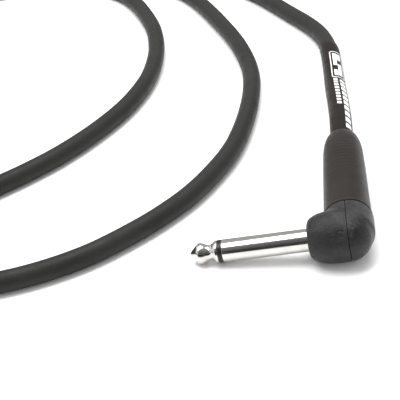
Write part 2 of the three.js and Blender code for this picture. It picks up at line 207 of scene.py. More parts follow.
far_origin = coil_route[-1] + ahead * (TAIL_LENGTH + FAR_BOOT_END)
far_origin.z = FAR_HEIGHT
backwards = Vector((-ahead.x, -ahead.y, math.tan(FAR_TILT)))
along_far = backwards.normalized()
tail_end = far_origin + backwards * (FAR_BOOT_END + 0.3) * math.cos(FAR_TILT)
# Out beside the coil, over to the far boot, and along inside it to the jacket's end.
tail_route = [
    coil_route[-1] + ahead * 8,
    coil_route[-1] + ahead * 21.6,
    tail_end + backwards * 14,
    tail_end + backwards * 7,
    tail_end,
    far_origin + along_far * (JACKET_START + 5),
    far_origin + along_far * JACKET_START,
]

route = [
    (0, JACKET_START, NEAR_HEIGHT),
    *SLEEVED_ROUTE,
    *[(x, y, FLOOR_Z + sum(rise)) for x, y, *rise in OUTER_LOOP + MIDDLE_LOOP + INNER_LOOP],
    (COIL_X - COIL_OUTER_TURN, 109.3, FLOOR_Z + 0.8),
    (COIL_X - COIL_OUTER_TURN, 93, 4.4),
    (COIL_X - COIL_OUTER_TURN, 78, COIL_LIFT + CABLE_RADIUS),
    *coil_route,
    *tail_route,
]
centreline = spline(route, 2.0)


# --- Mesh helpers. ---

near_frame = (
    Matrix.Translation(at((0, 0, NEAR_HEIGHT)))
    @ Matrix.Rotation(-NEAR_TILT, 4, "Y")
    @ Matrix.Scale(MM, 4)
)
far_frame = (
    Matrix.Translation(at(far_origin))
    @ Matrix.Rotation(heading + math.pi / 2, 4, "Z")
    @ Matrix.Rotation(FAR_TILT, 4, "X")
    @ Matrix.Scale(MM, 4)
)
# A lathe turns about +Y. The near shaft points along -X, and the far one along -Y.
to_near_shaft = near_frame @ Matrix.Rotation(math.pi / 2, 4, "Z")
to_far_shaft = far_frame @ Matrix.Rotation(math.pi, 4, "X")


def finish_piece(piece, body, replaced):
    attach(piece, body)
    if replaced:
        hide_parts(*replaced)


def add_object(name, mesh, body, replaced, material):
    piece = bpy.data.objects.new(name, mesh)
    bpy.context.scene.collection.objects.link(piece)
    mesh.materials.append(material)
    finish_piece(piece, body, replaced)
    return piece


def smooth_mesh(mesh, limit=35):
    """Smooth shading that keeps edges sharper than `limit` degrees."""
    for face in mesh.polygons:
        face.use_smooth = True
    mesh.set_sharp_from_angle(angle=math.radians(limit))


def smooth_profile(points, step=0.4):
    return [(p.x, p.y) for p in spline([(x, y, 0) for x, y in points], step)]


def rounded(points, radius=0.2, steps=4):
    """The same [radius, height] line with its corners rounded off."""
    line = [Vector((*p, 0)) for p in points]
    out = [line[0]]
    for before, corner, after in zip(line, line[1:], line[2:]):
        to_before, to_after = before - corner, after - corner
        near = min(radius, to_before.length * 0.45, to_after.length * 0.45)
        start = corner + to_before.normalized() * near
        end = corner + to_after.normalized() * near
        for k in range(steps + 1):
            share = k / steps
            out.append(start.lerp(corner, share).lerp(corner.lerp(end, share), share))
    out.append(line[-1])
    return [(p.x, p.y) for p in out]


def lathe(profile, sides=96, closed=False, wave=None):
    """A body of revolution about +Y, from (radius, height) points listed upwards outside."""
    mesh = bmesh.new()
    columns = []
    for k in range(sides):
        angle = 2 * math.pi * k / sides
        column = []
        for radius, height in profile:
            if radius < 1e-6:
                column.append(None)
                continue
            r = radius + (wave(angle, radius, height) if wave else 0)
            column.append(mesh.verts.new((r * math.sin(angle), height, r * math.cos(angle))))
        columns.append(column)
    poles = {
        i: mesh.verts.new((0, height, 0))
        for i, (radius, height) in enumerate(profile) if radius < 1e-6
    }
    pairs = [(i, i + 1) for i in range(len(profile) - 1)]
    if closed:
        pairs.append((len(profile) - 1, 0))
    for k in range(sides):
        here, there = columns[k], columns[(k + 1) % sides]
        for low, high in pairs:
            ring = [
                here[low] or poles[low], there[low] or poles[low],
                there[high] or poles[high], here[high] or poles[high],
            ]
            face = list(dict.fromkeys(ring))
            if len(face) > 2:
                mesh.faces.new(face)
    bmesh.ops.recalc_face_normals(mesh, faces=mesh.faces)
    return mesh


def to_mesh(name, shape, matrix, limit=35):
    shape.transform(matrix)
    if matrix.determinant() < 0:
        bmesh.ops.reverse_faces(shape, faces=shape.faces)
    mesh = bpy.data.meshes.new(name)
    shape.to_mesh(mesh)
    shape.free()
    smooth_mesh(mesh, limit)
    return mesh


def merge(shapes):
    """One mesh of several, and the sources are freed."""
    mesh = bpy.data.meshes.new("merge")
    whole = bmesh.new()
    for shape in shapes:
        shape.to_mesh(mesh)
        whole.from_mesh(mesh)
        shape.free()
    bpy.data.meshes.remove(mesh)
    return whole


def hold(name, shape):
    """A scratch object for modifiers to work on."""
    mesh = bpy.data.meshes.new(name)
    shape.to_mesh(mesh)
    shape.free()
    holder = bpy.data.objects.new(name, mesh)
    bpy.context.scene.collection.objects.link(holder)
    return holder


def evaluated(holder):
    """The holder's mesh with its modifiers applied. The holder is removed."""
    graph = bpy.context.evaluated_depsgraph_get()
    shape = bmesh.new()
    shape.from_mesh(bpy.data.meshes.new_from_object(holder.evaluated_get(graph)))
    bpy.data.objects.remove(holder)
    return shape


# --- Materials. ---


class Shader:
    """A node material built up around one Principled shader."""

    def __init__(self, name, roughness=0.5, metallic=0.0, **settings):
        self.material = bpy.data.materials.new(name)
        self.material.use_nodes = True
        self.tree = self.material.node_tree
        self.shader = next(n for n in self.tree.nodes if n.type == "BSDF_PRINCIPLED")
        self.shader.inputs["Roughness"].default_value = roughness
        self.shader.inputs["Metallic"].default_value = metallic
        for key, value in settings.items():
            self.shader.inputs[key].default_value = value
        self.place = self.add("ShaderNodeTexCoord").outputs["Object"]

    def add(self, kind, **values):
        node = self.tree.nodes.new(kind)
        for key, value in values.items():
            setattr(node, key, value)
        return node

    def link(self, source, target):
        self.tree.links.new(source, target)

    def noise(self, scale, detail=4.0, roughness=0.55, stretch=None):
        node = self.add("ShaderNodeTexNoise")
        node.inputs["Scale"].default_value = scale
        node.inputs["Detail"].default_value = detail
        node.inputs["Roughness"].default_value = roughness
        source = self.place
        if stretch:
            mapping = self.add("ShaderNodeMapping")
            mapping.inputs["Scale"].default_value = stretch
            self.link(source, mapping.inputs["Vector"])
            source = mapping.outputs["Vector"]
        self.link(source, node.inputs["Vector"])
        return node.outputs["Fac"]

    def spots(self, scale):
        node = self.add("ShaderNodeTexVoronoi", feature="F1")
        node.inputs["Scale"].default_value = scale
        self.link(self.place, node.inputs["Vector"])
        return node.outputs["Distance"]

    def ramp(self, value, stops):
        node = self.add("ShaderNodeValToRGB")
        elements = node.color_ramp.elements
        while len(elements) < len(stops):
            elements.new(0.5)
        for element, (position, colour) in zip(elements, stops):
            element.position = position
            element.color = (*colour, 1) if hasattr(colour, "__len__") else (colour,) * 3 + (1,)
        self.link(value, node.inputs["Fac"])
        return node.outputs["Color"]

    def math(self, operation, a, b=None, c=None):
        node = self.add("ShaderNodeMath", operation=operation)
        for socket, value in zip(node.inputs, (a, b, c)):
            if value is None:
                continue
            if isinstance(value, (int, float)):
                socket.default_value = value
            else:
                self.link(value, socket)
        return node.outputs[0]

    def mix(self, factor, a, b):
        node = self.add("ShaderNodeMix", data_type="RGBA")
        for socket, value in ((node.inputs[0], factor), (node.inputs[6], a), (node.inputs[7], b)):
            if isinstance(value, (int, float)):
                socket.default_value = value
            elif isinstance(value, tuple):
                socket.default_value = (*value, 1)
            else:
                self.link(value, socket)
        return node.outputs[2]

    def bump(self, height, distance, strength=1.0):
        node = self.add("ShaderNodeBump")
        node.inputs["Strength"].default_value = strength
        node.inputs["Distance"].default_value = distance
        self.link(height, node.inputs["Height"])
        self.link(node.outputs["Normal"], self.shader.inputs["Normal"])

    def colour(self, source):
        self.link(source, self.shader.inputs["Base Color"])

    def rough(self, source):
        self.link(source, self.shader.inputs["Roughness"])


def grained(name, dark, light, grain, depth, roughness, cloud=60, spread=0.1, **settings):
    """Moulded or extruded plastic: two tones in soft clouds, a fine grain, uneven gloss."""
    s = Shader(name, roughness, **settings)
    clouds = s.noise(cloud, 5)
    fine = s.noise(grain, 3, 0.6)
    s.colour(s.mix(s.ramp(clouds, [(0.35, 0.0), (0.68, 1.0)]), dark, light))
    s.rough(s.ramp(s.noise(cloud * 3, 4), [
        (0.3, roughness - spread), (0.7, min(1, roughness + spread)),
    ]))
    s.bump(fine, depth)
    return s


def polished(name, tint, roughness, spread=0.05, scratch=900, depth=0.000006):
    """Plated metal: fine turning lines and wiping scratches, a few pits, slight tarnish."""
    s = Shader(name, roughness, 1.0)
    haze = s.noise(240, 6, 0.65)
    s.colour(s.mix(s.ramp(haze, [(0.42, 0.0), (0.75, 1.0)]), tint, tuple(0.86 * v for v in tint)))
    scratches = s.noise(scratch, 3, 0.7, stretch=(0.12, 1.0, 1.0))
    s.rough(s.ramp(haze, [(0.35, roughness), (0.8, roughness + spread)]))
    pits = s.ramp(s.spots(1500), [(0.0, 0.0), (0.06, 1.0)])
    marks = s.math("ADD", s.math("MULTIPLY", scratches, 0.7), s.math("MULTIPLY", pits, 0.3))
    s.bump(marks, depth)
    return s.material


# Paler scuffs gather at the top of the housing's corner, out to the width set below from there:
# partly wear, partly a painted highlight where the overhead light falls.
SCUFF_AND_HIGHLIGHT_AT = (-3.5, 2, 14.5)
SCUFF_AND_HIGHLIGHT_WIDE = 0.012


def moulded_black():
    """The housing: fine sand-blasted grain with paler scuffs, denser on the top corner as wear and
    as a painted highlight.
    """
    s = Shader("moulded_black", 0.5, 0.0, **{"Specular IOR Level": 0.3})
    grain = s.noise(2600, 3, 0.65)
    scuffs = s.ramp(s.noise(170, 7, 0.72), [(0.5, 0.0), (0.72, 1.0)])
    flecks = s.ramp(s.noise(1500, 4, 0.7), [(0.55, 0.0), (0.78, 1.0)])
    marks = s.math("MULTIPLY", scuffs, s.math("MULTIPLY_ADD", flecks, 0.8, 0.2))
    apart = s.add("ShaderNodeVectorMath", operation="DISTANCE")
    s.link(s.place, apart.inputs[0])
    apart.inputs[1].default_value = at(SCUFF_AND_HIGHLIGHT_AT)
    # Painted highlight: the pale scuff colour is made stronger near the top corner, where the
    # overhead light falls, on top of the real scuffs.
    wear_and_highlight = s.ramp(s.math("DIVIDE", apart.outputs["Value"], SCUFF_AND_HIGHLIGHT_WIDE), [(0.15, 1.0), (1.0, 0.0)])
    marks = s.math("MULTIPLY_ADD", flecks, 0.2, marks)
    marks = s.math("MULTIPLY", marks, s.math("MULTIPLY_ADD", wear_and_highlight, 1.3, 0.35))
    marks = s.math("MINIMUM", marks, 1.0)
    base = s.mix(s.noise(90, 3), (0.007, 0.0075, 0.0075), (0.013, 0.013, 0.013))
    # The pale scuff colour: real scuffs everywhere, and a painted highlight near the top corner.
    s.colour(s.mix(marks, base, (0.13, 0.128, 0.12)))
    s.rough(s.ramp(s.noise(320, 5, 0.7), [(0.3, 0.34), (0.7, 0.52)]))
    s.bump(s.math("ADD", grain, s.math("MULTIPLY", flecks, 0.4)), 0.00022, 0.9)
    return s.material


def boot_black():
    """The boot: brown-black soft-touch rubber."""
    s = Shader("boot_black", 0.6, 0.0, **{
        "Sheen Weight": 0.02, "Sheen Roughness": 0.45, "Specular IOR Level": 0.12,
        "Sheen Tint": (0.95, 0.92, 0.9, 1),
    })
    clouds = s.ramp(s.noise(120, 6, 0.6), [(0.35, 0.0), (0.7, 1.0)])
    s.colour(s.mix(clouds, (0.018, 0.0145, 0.0125), (0.024, 0.020, 0.0175)))
    s.rough(s.ramp(s.noise(500, 4), [(0.3, 0.40), (0.7, 0.50)]))
    s.bump(s.noise(3500, 3, 0.6), 0.000025)
    return s.material


def jacket_black():
    """The cable's jacket: matt, with the faint drawn grain of an extrusion."""
    s = Shader("jacket_black", 0.58, 0.0, **{
        "Specular IOR Level": 0.2, "Sheen Weight": 0.02, "Sheen Roughness": 0.5,
    })
    clouds = s.ramp(s.noise(45, 5, 0.6), [(0.35, 0.0), (0.7, 1.0)])
    dust = s.ramp(s.noise(900, 4, 0.7), [(0.62, 0.0), (0.8, 1.0)])
    base = s.mix(clouds, (0.015, 0.0155, 0.014), (0.021, 0.021, 0.019))
    s.colour(s.mix(s.math("MULTIPLY", dust, 0.35), base, (0.08, 0.078, 0.07)))
    s.rough(s.ramp(s.noise(240, 4), [(0.3, 0.50), (0.7, 0.66)]))
    waves = s.math("MULTIPLY", s.noise(60, 2), 0.8)
    s.bump(s.math("ADD", s.noise(1800, 3, 0.6), waves), 0.00004, 0.7)
    return s.material


nickel = polished("nickel", (0.60, 0.59, 0.565), 0.13)
tinned = polished("tinned", (0.70, 0.69, 0.66), 0.34, 0.1, 500, 0.00002)
solder = polished("solder", (0.62, 0.62, 0.60), 0.38, 0.12, 300, 0.00004)
copper = polished("copper", (0.72, 0.38, 0.22), 0.34, 0.1, 700, 0.00002)
insulator = grained(
    "insulator", (0.007, 0.007, 0.007), (0.013, 0.013, 0.013), 2500, 0.00002, 0.38,
    **{"Specular IOR Level": 0.3}).material
housing = moulded_black()
boot_rubber = boot_black()
jacket = jacket_black()
chuck_grey = grained(
    "chuck_grey", (0.10, 0.10, 0.105), (0.14, 0.14, 0.145), 2200, 0.00003, 0.5).material
core_white = grained(
    "core_white", (0.62, 0.59, 0.52), (0.74, 0.71, 0.64), 1200, 0.00002, 0.5).material
strap_black = grained(
    "strap_black", (0.014, 0.014, 0.016), (0.032, 0.032, 0.036), 2600, 0.00015, 0.85,
    cloud=200, spread=0.08, **{"Sheen Weight": 0.4}).material


# --- Pieces of a plug, made about +Y. ---


def tip_profile():
    return [
        (0, 8), (1.6, 8), (1.6, TIP_AT - 8.0),
        *rounded([
            (3.02, TIP_AT - 8.0), (3.12, TIP_AT - 7.9), (3.12, TIP_AT - 7.35),
            (2.86, TIP_AT - 7.0),
        ], 0.12),
        *smooth_profile([
            (2.8, TIP_AT - 6.9), (2.36, TIP_AT - 6.3), (2.12, TIP_AT - 5.6),
            (2.28, TIP_AT - 4.95), (2.62, TIP_AT - 4.3), (2.9, TIP_AT - 3.6),
            (BALL_RADIUS, BALL_AT), (2.88, TIP_AT - 2.55), (2.55, TIP_AT - 2.1),
            (1.95, TIP_AT - 1.45), (1.3, TIP_AT - 0.78), (0.75, TIP_AT - 0.28),
            (0.3, TIP_AT - 0.04),
        ], 0.25),
        (0, TIP_AT),
    ]


def ring_profile():
    return rounded([
        (1.6, TIP_AT - 9.3), (3.12, TIP_AT - 9.3), (3.14, TIP_AT - 9.1), (3.14, TIP_AT - 8.1),
        (3.1, TIP_AT - 8.0), (1.6, TIP_AT - 8.0),
    ], 0.08)


def sleeve_profile():
    return [(2.4, 8.2), *rounded([
        (4.6, 8.2), (4.6, 9.1), (SHAFT_RADIUS, 9.2), (SHAFT_RADIUS, TIP_AT - 9.25),
        (2.4, TIP_AT - 9.25),
    ], 0.14)]


# The boot's rings: where the first is, as a share of the boot's length, and then millimetres.
RINGS_FROM = 0.40
RING_PITCH = 1.8
RING_COUNT = 10
RING_DEPTH = 0.03
RING_WIDTH = 0.14


def boot_profile(end):
    """The nut end with its bead, a long ogive with fine rings, and the mouth round the cable."""
    length = end - BOOT_START
    outside = rounded([
        (6.2, BOOT_START), (6.62, BOOT_START), (6.84, BOOT_START + 0.3),
        (6.84, BOOT_START + 0.62), (6.66, BOOT_START + 0.95), (6.6, BOOT_START + 1.15),
    ], 0.16)
    shape = [
        (0.025, 6.6), (0.1, 6.5), (0.24, 6.38), (0.44, 6.26), (0.6, 6.16), (0.7, 6.08),
        (0.79, 5.97), (0.855, 5.8), (0.905, 5.52), (0.945, 5.16), (0.973, 4.72), (0.99, 4.3),
    ]
    body = smooth_profile([(r, BOOT_START + share * length) for share, r in shape], 0.2)
    first = BOOT_START + RINGS_FROM * length
    ringed = []
    for radius, height in body:
        count, phase = divmod((height - first) / RING_PITCH, 1)
        if 0 <= count < RING_COUNT:
            radius -= RING_DEPTH * math.exp(-((phase - 0.5) / RING_WIDTH) ** 2)
        ringed.append((radius, height))
    mouth = rounded([
        (4.2, end - 0.45), (3.98, end - 0.08), (3.66, end), (3.6, end - 0.5), (3.62, end - 4),
    ], 0.2)
    inside = [
        (3.7, end - 6), (5.2, 22.5), (5.3, 14.6), (5.62, 14.2), (5.62, BOOT_START + 0.2),
    ]
    return outside + ringed + mouth + inside


THREAD_PITCH = 1.0
THREAD_DEPTH = 0.34
THREAD_ROWS = 150


def neck():
    """The housing's neck: a thread whose ridges the boot runs on."""
    start, end = BOOT_SEAT - 0.3, NECK_END
    heights = [start + (end - start) * k / THREAD_ROWS for k in range(THREAD_ROWS + 1)]
    profile = [(5.2, h) for h in heights] + [(4.6, NECK_END), (4.6, start)]

    def thread(angle, radius, height):
        if radius < 5:
            return 0
        phase = (height / THREAD_PITCH + angle / (2 * math.pi)) % 1
        ridge = max(0.0, 1 - abs(phase - 0.5) / 0.32)
        fade = min(1, max(0, (NECK_END - height) / 0.5), max(0, (height - BOOT_SEAT) / 0.15))
        return THREAD_DEPTH * min(1, ridge * 1.4) * fade - 0.06

    return lathe(profile, 72, closed=True, wave=thread)


def chuck():
    """The collet that grips the jacket, with two cross cuts that make its four slots."""
    collet = lathe(rounded([
        (3.16, 14.8), (4.9, 14.8), (4.9, 22.2), (4.0, 27), (3.16, 27), (3.16, 14.9),
    ], 0.2), 64, closed=True)
    holder = hold("collet_build", collet)
    cutters = []
    for size in ((12, 9, 0.8), (0.8, 9, 12)):
        box = bmesh.new()
        bmesh.ops.create_cube(box, size=1)
        box.transform(Matrix.Translation((0, 23.5, 0)) @ Matrix.Diagonal((*size, 1)))
        cutters.append(hold("slot_build", box))
        cut = holder.modifiers.new("slot", "BOOLEAN")
        cut.object = cutters[-1]
        cut.operation = "DIFFERENCE"
    shape = evaluated(holder)
    for cutter in cutters:
        bpy.data.objects.remove(cutter)
    return shape


def jacket_stub():
    radius = CABLE_RADIUS - 0.02
    return lathe(rounded([
        (0, 12), (3.05, 12), (radius, 12.4), (radius, JACKET_START), (0, JACKET_START),
    ], 0.3), 48)


HOUSING_RADIUS = 7.2
BACK_CENTRE = 0.4
BACK_DEPTH = 6.9
COLLAR_RADIUS = 7.0
SKIN_VOXEL = 0.2
SKIN_SMOOTHING = 90
# The rim under the boot is drawn in by RIM_SHRINK over its last RIM_ROUNDING millimetres.
RIM_ROUNDING = 0.6
RIM_SHRINK = 0.05
# The round mark of the mould's ejector pin, on the front below the seam.
MARK_OUT = Vector((0, -math.cos(math.radians(38)), math.sin(math.radians(38))))
MARK_AT = Vector((-1.9, 0, 0)) + HOUSING_RADIUS * MARK_OUT
MARK_RADIUS = 0.85
MARK_WIDTH = 0.17
MARK_DEPTH = 0.14


def elbow_body():
    """The housing's outside as one closed skin, before it is cut at its seam."""
    back = [
        (HOUSING_RADIUS * math.sqrt(1 - (k / 12) ** 2), BACK_CENTRE - BACK_DEPTH * k / 12)
        for k in (11.5, 10.5, 9, 7.5, 6, 4.5, 3, 1.5)
    ]
    side = smooth_profile([
        *back, (7.2, 1.2), (7.2, 3.0), (7.12, 4.8), (6.92, 6.5), (6.6, 8.0), (6.15, 9.2),
        (5.6, 10.1), (4.9, 10.7), (4.2, 10.95), (3.6, FACE_AT),
    ], 0.3)
    body = lathe([(0, BACK_CENTRE - BACK_DEPTH), *side, (0, FACE_AT)], 96)
    body.transform(Matrix.Rotation(math.pi / 2, 4, "Z"))
    collar = lathe([
        (0, -0.5), (COLLAR_RADIUS, -0.5), (COLLAR_RADIUS, 9), (0, 9),
    ], 96)
    holder = hold("elbow_build", merge([body, collar]))
    remesh = holder.modifiers.new("skin", "REMESH")
    remesh.mode = "VOXEL"
    remesh.voxel_size = SKIN_VOXEL
    soften = holder.modifiers.new("fillet", "SMOOTH")
    soften.factor = 0.5
    soften.iterations = SKIN_SMOOTHING
    skin = evaluated(holder)
    bmesh.ops.bisect_plane(
        skin, geom=skin.verts[:] + skin.edges[:] + skin.faces[:], dist=1e-4,
        plane_co=(0, BOOT_SEAT, 0), plane_no=(0, 1, 0), clear_outer=True,
    )
    bmesh.ops.holes_fill(skin, edges=[e for e in skin.edges if e.is_boundary], sides=0)
    for vertex in skin.verts:
        share = max(0, 1 - (BOOT_SEAT - vertex.co.y) / RIM_ROUNDING)
        vertex.co.x *= 1 - RIM_SHRINK * share ** 2
        vertex.co.z *= 1 - RIM_SHRINK * share ** 2
        off = vertex.co - MARK_AT
        sideways = (off - off.dot(MARK_OUT) * MARK_OUT).length
        if off.length < 3 * MARK_RADIUS:
            groove = math.exp(-((sideways - MARK_RADIUS) / MARK_WIDTH) ** 2)
            vertex.co -= MARK_OUT * MARK_DEPTH * groove
    return skin


SEAM_AT = 0.08


def elbow_half(side):
    """One half of the housing, cut at the seam plane and closed there."""
    half = elbow_body()
    cut = bmesh.ops.bisect_plane(
        half, geom=half.verts[:] + half.edges[:] + half.faces[:], dist=1e-4,
        plane_co=(side * SEAM_AT, 0, 0), plane_no=(side, 0, 0), clear_inner=True,
    )
    rim = [e for e in cut["geom_cut"] if isinstance(e, bmesh.types.BMEdge)]
    bmesh.ops.holes_fill(half, edges=rim, sides=0)
    bmesh.ops.recalc_face_normals(half, faces=half.faces)
    return half


# --- The two plugs. Node names that start plug_ are the near one's, and far_ the far one's. ---

ROOT = "cable_and_plugs"
SHAFT_PARTS = [
    ("shaft_tip", tip_profile, False, "nickel", "tip_contact", nickel),
    ("shaft_ring", ring_profile, True, "insulator", "tip_insulator", insulator),
    ("shaft_sleeve", sleeve_profile, True, "nickel", "sleeve_contact", nickel),
]


def add_turned(name, profile, sides, closed, matrix, body, replaced, material):
    mesh = to_mesh(name, lathe(profile, sides, closed), matrix)
    return add_object(name, mesh, body, replaced, material)


def add_shared_pieces(
    end, prefix, node_prefix, place, shaft_place, shaft_sides, boot_end, boot_sides,
):
    """The pieces that both plugs have."""
    pieces = [
        add_turned(prefix + name, profile(), shaft_sides, closed, shaft_place,
                   ROOT, [node_prefix + node], material)
        for name, profile, closed, slot, node, material in SHAFT_PARTS
    ]
    pieces += [
        add_object(prefix + "neck_thread", to_mesh(prefix + "neck_thread", neck(), place),
                   ROOT, [], housing),
        add_turned("boot_" + end, boot_profile(boot_end), boot_sides, True, place,
                   end + "_boot", [node_prefix + "boot"], boot_rubber),
        add_object("chuck_" + end, to_mesh("chuck_" + end, chuck(), place),
                   end + "_chuck", [node_prefix + "chuck"], chuck_grey),
        add_object("jacket_" + end, to_mesh("jacket_" + end, jacket_stub(), place),
                   ROOT, [node_prefix + "jacket_end"], jacket),
    ]
    return pieces


add_shared_pieces("near", "", "plug_", near_frame, to_near_shaft, 96, NEAR_BOOT_END, 128)
for name, side, node in (
    ("elbow_front", -1, "plug_front_housing"), ("elbow_back", 1, "plug_back_cover"),
):
    half = to_mesh(name, elbow_half(side), near_frame)
    add_object(name, half, ROOT, [node], housing)

BARREL_RADIUS = 6.8


def barrel_profile():
    """The far plug's straight housing, with a groove round it."""
    return [
        (0, -FACE_AT), *rounded([
            (5.3, -FACE_AT), (6.0, -FACE_AT + 0.3), (6.4, -FACE_AT + 1.1), (BARREL_RADIUS, -6),
            (BARREL_RADIUS, -2.5), (6.55, -2.2), (6.55, -1.6), (BARREL_RADIUS, -1.3),
            (BARREL_RADIUS, BOOT_SEAT), (5.2, BOOT_SEAT),
        ], 0.25), (0, BOOT_SEAT),
    ]


far_pieces = add_shared_pieces(
    "far", "far_", "far_", far_frame, to_far_shaft, 72, FAR_BOOT_END, 112)
far_pieces.append(add_turned(
    "far_housing", barrel_profile(), 96, False, far_frame,
    ROOT, ["far_barrel"], housing))


# --- Printed heat-shrink sleeve. ---

# The print in millimetres: across from the line along its middle, and along from the boot's end.
# The print's middle is turned round the sleeve from its top by PRINT_TURN degrees.
PRINT_TURN = 25
# Each box is (across, along, half width, half length), and a rounded one has its corner last.
PANEL_EDGE = (0, 58.7, 2.45, 11.7, 0.9)
PANEL_INSIDE = (0, 58.7, 2.1, 11.2, 0.6)
PANEL_BARS = [
    (-0.75, 63.4, 0.7, 5.2), (0.8, 54.4, 0.7, 5.2),
    (0.8, 65.8, 0.7, 2.6), (-0.75, 51.4, 0.7, 2.6),
]
# Each row of dashes is (across, half width, first, last, pitch, inked share, slant).
DASH_ROWS = [(1.04, 1.05, 8.4, 45.2, 3.9, 0.7, 0.25), (-1.45, 0.7, 23.3, 46, 2.6, 0.66, 0.2)]


def print_ink(s):
    """1 where the sleeve is printed: an outlined panel of bars, and two rows of dashes."""
    split = s.add("ShaderNodeSeparateXYZ")
    s.link(s.add("ShaderNodeUVMap", uv_map="print").outputs["UV"], split.inputs[0])
    across, along = split.outputs[0], split.outputs[1]

    def off(value, centre):
        return s.math("ABSOLUTE", s.math("SUBTRACT", value, centre))

    def box(x, y, half_x, half_y):
        return s.math("MULTIPLY", s.math("LESS_THAN", off(across, x), half_x),
                      s.math("LESS_THAN", off(along, y), half_y))

    def rounded_box(x, y, half_x, half_y, corner):
        over_x = s.math("MAXIMUM", s.math("SUBTRACT", off(across, x), half_x - corner), 0)
        over_y = s.math("MAXIMUM", s.math("SUBTRACT", off(along, y), half_y - corner), 0)
        squares = s.math("MULTIPLY_ADD", over_x, over_x, s.math("MULTIPLY", over_y, over_y))
        return s.math("LESS_THAN", s.math("SQRT", squares), corner)

    def dashes(x, half_x, first, last, pitch, share, slant):
        start = s.math("SUBTRACT", s.math("MULTIPLY_ADD", across, slant, along), first)
        mark = s.math("LESS_THAN", s.math("FRACT", s.math("DIVIDE", start, pitch)), share)
        return s.math("MULTIPLY", box(x, (first + last) / 2, half_x, (last - first) / 2), mark)

    ink = s.math("SUBTRACT", rounded_box(*PANEL_EDGE), rounded_box(*PANEL_INSIDE))
    for mark in [box(*bar) for bar in PANEL_BARS] + [dashes(*row) for row in DASH_ROWS]:
        ink = s.math("ADD", ink, mark)
    return s.math("MINIMUM", ink, 1.0)


def label_material():
    """Heat-shrink with a plain white print, a little worn."""
    s = Shader("label_black", 0.42, 0.0, **{"Specular IOR Level": 0.08})
    ink = print_ink(s)
    worn = s.math("MULTIPLY", ink, s.ramp(s.noise(2200, 4, 0.7), [(0.22, 0.55), (0.4, 1.0)]))
    base = s.mix(s.noise(140, 4), (0.013, 0.011, 0.010), (0.019, 0.016, 0.0145))
    s.colour(s.mix(worn, base, (0.80, 0.82, 0.80)))
    s.rough(s.ramp(s.noise(300, 4), [(0.3, 0.36), (0.7, 0.52)]))
    s.bump(s.math("ADD", s.noise(900, 3, 0.6), s.math("MULTIPLY", ink, 0.3)), 0.00003)
    return s.material


LABEL_SIDES = 48


def label_line():
    """The cable's own line between the sleeve's ends, as (point, tangent, distance)."""
    out, travelled = [], 0.0
    for before, here, after in zip(centreline, centreline[1:], centreline[2:]):
        if here.y > LABEL_END:
            break
        if here.y >= LABEL_START:
            travelled += (here - before).length if out else 0
            out.append((here, (after - before).normalized(), travelled))
    return out


def label_tube():
    """The shrunk sleeve, outside and inside, with its UVs in the print's millimetres."""
    line = label_line()
    total = line[-1][2]
    mesh = bmesh.new()
    layer = mesh.loops.layers.uv.new("print")

    def ring(point, tangent, radius):
        side = tangent.cross(Vector((0, 0, 1))).normalized()
        top = side.cross(tangent).normalized()
        turns = [2 * math.pi * k / LABEL_SIDES for k in range(LABEL_SIDES)]
        return [
            mesh.verts.new(at(point + radius * (math.sin(turn) * side + math.cos(turn) * top)))
            for turn in turns
        ]

    def outer(distance):
        edge = min(distance, total - distance)
        swell = 0.05 * noise.noise(Vector((distance * 0.09, 3.1, 0)))
        return LABEL_RADIUS - 0.16 * math.exp(-edge / 0.5) + swell

    inner = CABLE_RADIUS + 0.02
    rings = [(ring(point, tangent, outer(along)), along) for point, tangent, along in line]
    rings += [(ring(point, tangent, inner), along) for point, tangent, along in reversed(line)]
    turn = math.radians(PRINT_TURN)
    for (a, low), (b, high) in zip(rings, rings[1:] + rings[:1]):
        for k in range(LABEL_SIDES):
            j = (k + 1) % LABEL_SIDES
            face = mesh.faces.new((a[k], a[j], b[j], b[k]))
            corners = ((k, low), (k + 1, low), (k + 1, high), (k, high))
            past_back = 2 * math.pi * (k + 0.5) / LABEL_SIDES - turn > math.pi
            for loop, (column, along) in zip(face.loops, corners):
                angle = 2 * math.pi * (column / LABEL_SIDES - past_back) - turn
                loop[layer].uv = (angle * LABEL_RADIUS, along)
    bmesh.ops.recalc_face_normals(mesh, faces=mesh.faces)
    return mesh


label = add_object("label", to_mesh("label", label_tube(), Matrix.Identity(4), 50),
                   ROOT, ["label_sleeve"], label_material())


# --- Tie round the coil. ---


STRAP_CORNER = 3.0
STRAP_CORNER_STEPS = 8
# Across the strap, and out from its inner face.
STRAP_SECTION = [
    (-TIE_WIDTH / 2, 0.0), (-TIE_WIDTH / 2, 0.5), (-4.8, 0.72), (-4.2, 0.8),
    (4.2, 0.8), (4.8, 0.72), (TIE_WIDTH / 2, 0.5), (TIE_WIDTH / 2, 0.0),
]


